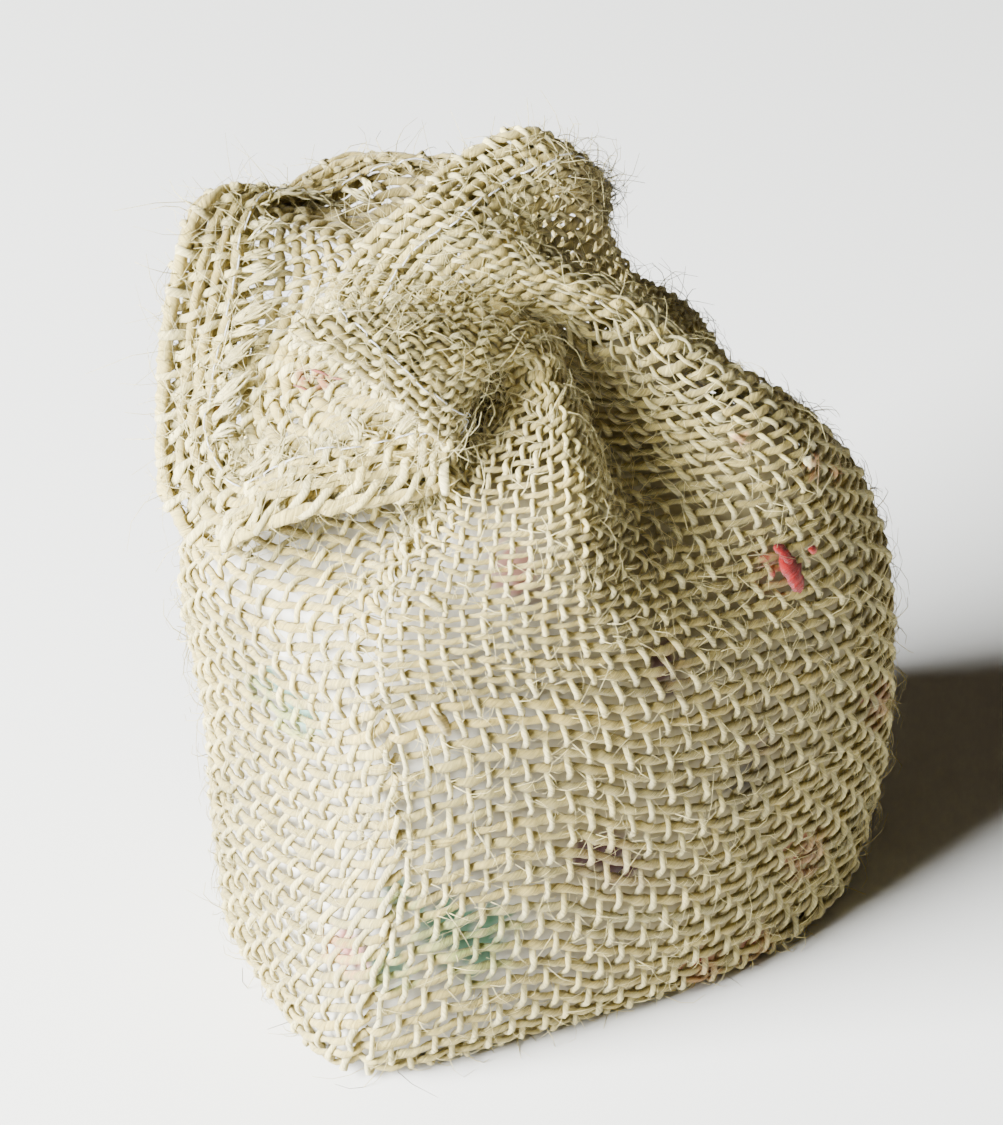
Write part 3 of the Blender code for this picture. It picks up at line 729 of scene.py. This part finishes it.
def add_weft(yarns, cloth, index, panel, part):
    """A crosswise yarn in one part of a panel. It dives in at the panel's two seams."""
    first, last = panel
    start, end = part
    row = index + 0.5
    warps = np.arange(start, end + STEP / 2, STEP)
    place, short = cloth.column_of(warps, row)
    if first and end == last:
        # This half ends at seam A, wherever that is in warps: its last point is set on the seam.
        warps = np.arange(start, end + BIAS_WARPS, STEP)
        place, short = cloth.column_of(warps, row)
        last_warp = np.interp(0, -short, warps)
        warps = np.append(warps[warps < last_warp - STEP / 4], last_warp)
        place, short = cloth.column_of(warps, row)
    from_seam = np.minimum(np.abs(warps - first), np.abs(short) if first else np.abs(last - warps))
    keep = np.interp(place % WARPS, cloth.columns, cloth.lowest) <= row
    warps, place, from_seam = warps[keep], place[keep], from_seam[keep]
    if len(warps) < 8:
        return
    seed = (BACK_WEFT_SEED if first else WEFT_SEED) + 11 * (index + 80)
    rows = np.full(len(warps), row)
    phase = np.pi * (warps - 0.5 + index - (0.5 if index >= 0 else 0))
    pitch = cloth.read(cloth.weft_pitch, rows, place)
    squeeze = np.clip(pitch / PITCH, 0.3, 1.15)
    drift = 0.13 * wander(seed, warps * PITCH, 24.0) * squeeze
    lean = WEFT_LEAN * np.sin(phase)
    slip_down, slip_across = cloth.pull(warps, row)
    at_seam = smooth_step(from_seam, 0, 2)
    place = place + slip_across * at_seam
    rows = rows + (drift + lean) / np.maximum(pitch, 0.4) + slip_down
    rows = np.clip(rows, cloth.rows[0], cloth.rows[-1])
    middle, facing = cloth.surface(rows, place)
    crimp = -WEFT_CRIMP * np.cos(phase) - SEAM_DIVE * np.exp(-((from_seam / DIVE_WIDTH) ** 2))
    path = middle + facing * crimp[:, None]
    fat = 1 + 0.18 * wander(seed + 4, warps * PITCH, 17.0)
    fat = fat + 0.10 * wander(seed + 5, warps * PITCH, 4.0)
    across = np.clip(cloth.read(cloth.warp_pitch, rows, place) / PITCH, 0.3, 1.0)
    width = WEFT_SIZE[0] * squeeze**0.8 * fat * fullness(rows)
    thick = WEFT_SIZE[1] * np.minimum(squeeze, 1) ** 0.4 * across**0.25 * fat
    tone = yarn_tone(seed + 6, warps * PITCH)
    yarns.add(path, facing, width, thick, tone * WEFT_TINT, start_along=2.3 * index)


def add_fringe(yarns, cloth, index):
    """A warp's loose end past the hem's raw edge: unspun, thick in the middle, off the cloth."""
    draw = np.random.default_rng(FRINGE_SEED + index)
    reaches, widths, strands = FULL_END if draw.random() < FULL_ENDS else THIN_END
    reach = draw.uniform(*reaches)
    share = np.linspace(0, 1, 9)
    rows = INSIDE_WEFTS - 0.5 + reach * share
    place, _ = cloth.column_of(index + 0.5, rows)
    sway = draw.normal(0, 0.8)
    place = place + 0.5 + sway * share**1.6
    middle, facing = cloth.surface(rows, place)
    lift = 0.3 + draw.uniform(0.1, 1.1) * np.sin(np.pi * share * 0.8)
    path = middle + facing * lift[:, None]
    swell = np.sin(np.pi * np.clip(share * 0.92 + 0.05, 0, 1)) ** 0.6
    pitch = np.clip(cloth.read(cloth.warp_pitch, rows, place) / PITCH, 0.4, 1.2)
    body = draw.uniform(*widths)
    tone = yarn_tone(FRINGE_TONE_SEED + index, rows * PITCH) * 1.08
    side = np.cross(unit(np.gradient(path, axis=0)), facing)
    for strand in range(strands):
        angle = 2 * np.pi * strand / strands + draw.uniform(0, 0.8)
        spread = 0.32 * body * swell * pitch + draw.uniform(-0.3, 0.7) * share**2
        twirl = angle + 1.2 * share
        offset = side * (np.cos(twirl) * spread)[:, None]
        offset = offset + facing * (0.45 * np.sin(twirl) * spread)[:, None]
        size = body * swell * pitch
        last = draw.integers(6, 10)
        strand_path = (path + offset + facing * (0.2 * np.sin(9 * share + angle))[:, None])[:last]
        taper = 1 - 0.75 * np.linspace(0, 1, last) ** 2
        width = (0.34 * size[:last] + 0.08) * taper
        tint = tone[:last] * draw.uniform(0.8, 1.12)
        yarns.add(strand_path, facing[:last], width, 0.8 * width, tint)


def add_stitches(yarns, cloth, panel, row):
    """Machine stitches along the hem: each is a short straight length that dives at both ends."""
    for number in range(int((panel[1] - panel[0]) / STITCH_LENGTH)):
        start = panel[0] + number * STITCH_LENGTH
        share = np.linspace(0, 1, 7)
        warps = start + STITCH_LENGTH * (0.06 + 0.88 * share)
        rows = np.full(len(share), row + 0.12 * np.sin(number * 2.3))
        place, _ = cloth.column_of(warps, rows)
        middle, facing = cloth.surface(rows, place)
        height = STITCH_LIFT - 0.9 * (2 * share - 1) ** 6
        path = middle + facing * height[:, None]
        yarns.add(path, facing, STITCH_SIZE, STITCH_SIZE, (1.0, 1.0, 1.0))


def add_hair(yarns, root, facing, draw, longest):
    """A stray fibre: it leaves the yarn, bends over and tapers."""
    heading = draw.normal(0, 1, 3)
    heading -= facing * (heading @ facing)
    heading /= np.linalg.norm(heading)
    length = longest * draw.uniform(0.25, 1.0) ** 1.5
    share = np.linspace(0, 1, 4)[:, None]
    rise = draw.uniform(0.15, 0.8) * length
    curl = np.cross(facing, heading) * draw.normal(0, 0.7) * length
    path = root + heading * length * share
    path = path + facing * rise * np.sin(share * 2.2) * 0.7 + curl * share**2
    thick = draw.uniform(0.07, 0.15) * (1 - 0.6 * share[:, 0])
    tone = draw.uniform(1.1, 1.7)
    tint = (tone, tone * 0.99, tone * 0.93)
    yarns.add(path, np.broadcast_to(facing, path.shape), thick, thick, tint)


def add_bit(yarns, start, end, outward, width, tint):
    """A loose bit of fibre that lies on the cloth."""
    share = np.linspace(0, 1, 9)[:, None]
    swell = np.sin(np.pi * (share * 0.9 + 0.05)) ** 0.5
    lift = np.array(outward) * (0.95 + 0.35 * swell)
    path = np.array(start) + (np.array(end) - np.array(start)) * share + lift
    facing = np.broadcast_to(outward, path.shape)
    yarns.add(path, facing, 1.4 * width * swell[:, 0], 0.2 * width * swell[:, 0] + 0.1, tint)


def add_fuzz(yarns, cloth, panel, count, first_row, inside):
    """Stray fibres from first_row to the hem's end. inside is the share on the inner face."""
    draw = np.random.default_rng(FUZZ_SEED + panel[0] - int(first_row))
    made = 0
    while made < count:
        warp = draw.uniform(*panel)
        row = draw.uniform(first_row, 5)
        on_warp = draw.random() < 0.5
        if on_warp:
            warp = np.floor(warp) + 0.5
        else:
            row = np.floor(row) + 0.5
        place, short = cloth.column_of(np.array([warp]), np.array([row]))
        if short[0] < 0:
            continue
        spot = np.array([row])
        room = cloth.read(cloth.warp_pitch, spot, place)[0]
        room = room * cloth.read(cloth.weft_pitch, spot, place)[0]
        if draw.random() * PITCH**2 * 0.8 > room:
            continue
        middle, facing = (found[0] for found in cloth.surface(spot, place))
        facing = facing / np.linalg.norm(facing)
        if row < -INSIDE_WEFTS and draw.random() < inside:
            facing = -facing
        lift = draw.uniform(-0.2, 0.8)
        near_edge = row > -8 or short[0] < 2 or warp < 3
        longest = EDGE_HAIR_REACH if near_edge else HAIR_REACH
        add_hair(yarns, middle + facing * lift, facing, draw, longest)
        made += 1


# ---- materials
def node(tree, kind, x, y, inputs=(), **settings):
    """A new node. inputs pairs each input with its value or with the output that feeds it."""
    made = tree.nodes.new(kind)
    made.location = (x, y)
    for key, value in settings.items():
        setattr(made, key, value)
    for socket, value in inputs:
        if isinstance(value, bpy.types.NodeSocket):
            tree.links.new(value, made.inputs[socket])
        else:
            made.inputs[socket].default_value = value
    return made


def arithmetic(tree, operation, x, y, *values):
    made = node(tree, "ShaderNodeMath", x, y, enumerate(values), operation=operation)
    return made.outputs[0]


def new_material(name, roughness):
    material = bpy.data.materials.new(name)
    material.use_nodes = True
    shader = material.node_tree.nodes["Principled BSDF"]
    shader.inputs["Roughness"].default_value = roughness
    return material, material.node_tree, shader


def finish_by_noise(tree, shader, noise, colour, tones, strength, distance):
    """The noise shades the colour between two tones, and raises the surface by the distance."""
    height = noise.outputs["Fac"]
    limits = (("From Min", 0.3), ("From Max", 0.7), ("To Min", tones[0]), ("To Max", tones[1]))
    tone = node(tree, "ShaderNodeMapRange", -100, 0, [*limits, ("Value", height)])
    scaling = ((0, colour), ("Scale", tone.outputs["Result"]))
    shaded = node(tree, "ShaderNodeVectorMath", 100, 200, scaling, operation="SCALE")
    relief = (("Strength", strength), ("Distance", distance), ("Height", height))
    bump = node(tree, "ShaderNodeBump", 100, -200, relief)
    tree.links.new(shaded.outputs[0], shader.inputs["Base Color"])
    tree.links.new(bump.outputs["Normal"], shader.inputs["Normal"])


def yarn_material(name, roughness, colour):
    """Jute: twisted fibre streaks run along the yarn, from its own coordinates."""
    material, tree, shader = new_material(name, roughness)
    shader.inputs["Specular IOR Level"].default_value = 0.25
    shader.inputs["Sheen Weight"].default_value = 0.25
    shader.inputs["Sheen Roughness"].default_value = 0.5
    place = node(tree, "ShaderNodeUVMap", -1500, 0, uv_map="yarn")
    split = node(tree, "ShaderNodeSeparateXYZ", -1300, 0, [(0, place.outputs["UV"])])
    length, part_of_turn = split.outputs["X"], split.outputs["Y"]
    # The fibres wind round the yarn: the angle grows with the length.
    wind = arithmetic(tree, "MULTIPLY", -1100, -100, length, 0.42)
    angle = arithmetic(tree, "SUBTRACT", -950, -50, part_of_turn, wind)
    angle = arithmetic(tree, "MULTIPLY", -800, -50, angle, 2 * math.pi)
    cosine = arithmetic(tree, "COSINE", -650, 0, angle)
    sine = arithmetic(tree, "SINE", -650, -150, angle)
    slow = arithmetic(tree, "MULTIPLY", -650, -300, length, 0.35)
    turning = [("X", cosine), ("Y", sine), ("Z", slow)]
    strand = node(tree, "ShaderNodeCombineXYZ", -480, -50, turning)
    grain = [("Scale", 1.3), ("Detail", 4.0), ("Roughness", 0.75), ("Vector", strand.outputs[0])]
    fibres = node(tree, "ShaderNodeTexNoise", -300, 0, grain)
    tint = node(tree, "ShaderNodeVertexColor", -300, 250, layer_name="tint")
    dye = [("Factor", 1.0), ("A", (*colour, 1)), ("B", tint.outputs["Color"])]
    base = node(tree, "ShaderNodeMix", -100, 300, dye, data_type="RGBA", blend_type="MULTIPLY")
    result = base.outputs["Result"]
    finish_by_noise(tree, shader, fibres, result, (0.42, 1.38), 0.9, 0.0004)
    return material


def filling_material():
    """A pale film, slightly crumpled, with faint blots of colour."""
    material, tree, shader = new_material("filling_film", 0.45)
    tint = node(tree, "ShaderNodeVertexColor", -500, 250, layer_name="tint")
    place = node(tree, "ShaderNodeTexCoord", -900, 0)
    grain = [("Scale", 260.0), ("Detail", 4.0), ("Vector", place.outputs["Object"])]
    crumple = node(tree, "ShaderNodeTexNoise", -500, 0, grain)
    finish_by_noise(tree, shader, crumple, tint.outputs["Color"], (0.86, 1.1), 0.5, 0.0006)
    return material


# ---- the filling
PACK_COLUMNS, PACK_ROWS = 220, 96
CROWN_ROWS = 14  # of its rounded top
# The film is warmer and darker on the right, and paler from about the middle to the left: its own
# warm colour, with painted light towards the lit left and painted shade towards the right.
WARM_FILM = np.array([0.45, 0.38, 0.20])
PALE_FILM = np.array([0.61, 0.585, 0.51])


def make_filling(material):
    """The wrapped contents: the sack's own rings, moved in, under a rounded top."""
    rings = fine_rings(seams=(), inset=CLOTH + PACK_GAP, neck_inset=PACK_NECK_GAP)
    rings = columns_round(rings, np.linspace(0, 1, PACK_COLUMNS, endpoint=False))
    heights = section_rows(FINE_ROWS)["z"]
    lowest = np.searchsorted(heights, 0, side="right")
    highest = np.searchsorted(heights, PACK_SHOULDER)
    walls = rings[np.rint(np.linspace(lowest, highest, PACK_ROWS)).astype(int)]
    walls[0, :, 2] = PACK_FLOOR
    shoulder = walls[-1]
    middle = shoulder.mean(axis=0)
    crown = []
    for turn in np.linspace(0, np.pi / 2, CROWN_ROWS + 1)[1:-1]:
        ring = middle + (shoulder - middle) * np.cos(turn)
        ring[:, 2] = shoulder[:, 2] + (PACK_TOP - shoulder[:, 2]) * np.sin(turn)
        crown.append(ring)
    grid = np.concatenate([walls, np.stack(crown)])
    grid[..., 2] = np.maximum(grid[..., 2], PACK_FLOOR)
    ends = [[*middle[:2], PACK_FLOOR], [*middle[:2], PACK_TOP]]
    points = np.concatenate([grid.reshape(-1, 3), ends]) - MIDDLE
    quads, floor_cap, top_cap = tube_faces(len(grid), PACK_COLUMNS)
    caps = np.stack([floor_cap, top_cap], axis=1).reshape(-1, 3)
    faces = quads.tolist() + caps.tolist()
    mesh = bpy.data.meshes.new("filling_bag")
    mesh.from_pydata((points * MM).tolist(), [], faces)
    mesh.shade_smooth()
    # Painted light and shade: the film paler towards the lit left, darker and warmer towards the
    # shaded right.
    paler = smooth_step(4 * np.sin(points[:, 2] / 7) - points[:, 0], 2, 20)[:, None]
    film = WARM_FILM + (PALE_FILM - WARM_FILM) * paler
    add_tint(mesh, stained_and_shaded(points, film, FILLING_BLOTS))
    mesh.materials.append(material)
    return add_object("filling_bag", mesh)


# ---- make the pieces
jute = yarn_material("jute_yarn", 0.85, JUTE)
cotton = yarn_material("stitching_cotton", 0.7, (0.85, 0.85, 0.84))
panels = {"front": (0, WARPS // 2), "back": (WARPS // 2, WARPS)}
woven = []
fringe_yarns, stitch_yarns, fuzz_yarns, collar_yarns = Yarns(4), Yarns(5), Yarns(3), Yarns(3)
cloth = Cloth()
for panel_name, panel in panels.items():
    middle_column = sum(panel) // 2
    for part_name, part in (("a", (panel[0], middle_column)), ("b", (middle_column, panel[1]))):
        yarns = Yarns(6)
        for index in range(part[0], part[1] + (BIAS_WARPS if part[1] == WARPS else 0)):
            add_warp(yarns, cloth, index)
        for index in range(-WEFTS - BASE_WEFTS, 4):
            add_weft(yarns, cloth, index, panel, part)
        # The weave's yarns carry painted shade in the hollows.
        woven.append(yarns.build(f"weave_{panel_name}_{part_name}", jute, PAINTED_SHADE))
    for index in range(panel[0], panel[1] - (BIAS_WARPS // 2 if panel[0] else 0)):
        add_fringe(fringe_yarns, cloth, index)
    for row in STITCH_ROWS:
        add_stitches(stitch_yarns, cloth, panel, row)
    add_fuzz(fuzz_yarns, cloth, panel, FUZZ[panel_name], -WEFTS, 0.0)
    more = COLLAR_FUZZ[panel_name]
    add_fuzz(collar_yarns, cloth, panel, more, COLLAR_FROM, COLLAR_INSIDE)
for bit in BITS:
    add_bit(fringe_yarns, *bit)
filling = make_filling(filling_material())
fringe = fringe_yarns.build("hem_fringe", jute)
stitches = stitch_yarns.build("hem_stitches", cotton)
fuzz = fuzz_yarns.build("stray_fibres", jute)
collar_fuzz = collar_yarns.build("collar_fibres", jute)
extras = [fringe, stitches, fuzz, collar_fuzz]

for piece in [*woven, *extras]:
    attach(piece, "root")
    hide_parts("sack")
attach(filling, "root")
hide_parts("filling")

# ---- floor, light and camera
LOOK_AT = Vector((-6.2, -3.6, 52.0)) * MM
CAMERA_PLACE = (-24, 36, 0.450)  # azimuth and elevation in degrees, and distance in metres
KEY_PLACE = (-87, 24, 0.9)
KEY_SIZE, KEY_POWER, KEY_COLOUR = 0.55, 115.0, (0.97, 1.0, 1.0)
ROOM_COLOUR, ROOM_LIGHT = (1.0, 0.82, 0.60, 1), 0.05
FLOOR_COLOUR, FLOOR_REACH = (0.72, 0.71, 0.69, 1), 3.0
PICTURE_HEIGHT = 1125
FOCAL_PIXELS = 4000.0
SENSOR = 36.0


def make_floor():
    mesh = bpy.data.meshes.new("studio_floor")
    reach = FLOOR_REACH
    corners = [(-reach, -reach, 0), (reach, -reach, 0), (reach, reach, 0), (-reach, reach, 0)]
    mesh.from_pydata(corners, [], [(0, 1, 2, 3)])
    material, _, shader = new_material("studio_white", 0.8)
    shader.inputs["Base Color"].default_value = FLOOR_COLOUR
    mesh.materials.append(material)
    return add_object("studio_floor", mesh)


def aim(thing, azimuth, elevation, distance):
    """Turns a light or camera to the sack. Azimuth 0 is in front of it, 90 on its right."""
    azimuth, elevation = math.radians(azimuth), math.radians(elevation)
    level = math.cos(elevation)
    out = Vector((math.sin(azimuth) * level, -math.cos(azimuth) * level, math.sin(elevation)))
    thing.location = LOOK_AT + out * distance
    thing.rotation_euler = out.to_track_quat("Z", "Y").to_euler()


floor = make_floor()
key = bpy.data.lights.new("key", "AREA")
key.size = KEY_SIZE
key.energy = KEY_POWER
key.color = KEY_COLOUR
aim(add_object("key", key), *KEY_PLACE)
world = bpy.data.worlds.new("studio")
world.use_nodes = True
background = world.node_tree.nodes["Background"]
background.inputs["Color"].default_value = ROOM_COLOUR
background.inputs["Strength"].default_value = ROOM_LIGHT
bpy.context.scene.world = world

camera_data = bpy.data.cameras.new("camera")
camera_data.sensor_fit = "VERTICAL"
camera_data.sensor_height = SENSOR
camera_data.lens = FOCAL_PIXELS * SENSOR / PICTURE_HEIGHT
camera_data.clip_start = 0.01
camera_data.clip_end = 20
camera = add_object("camera", camera_data)
aim(camera, *CAMERA_PLACE)
bpy.context.scene.camera = camera
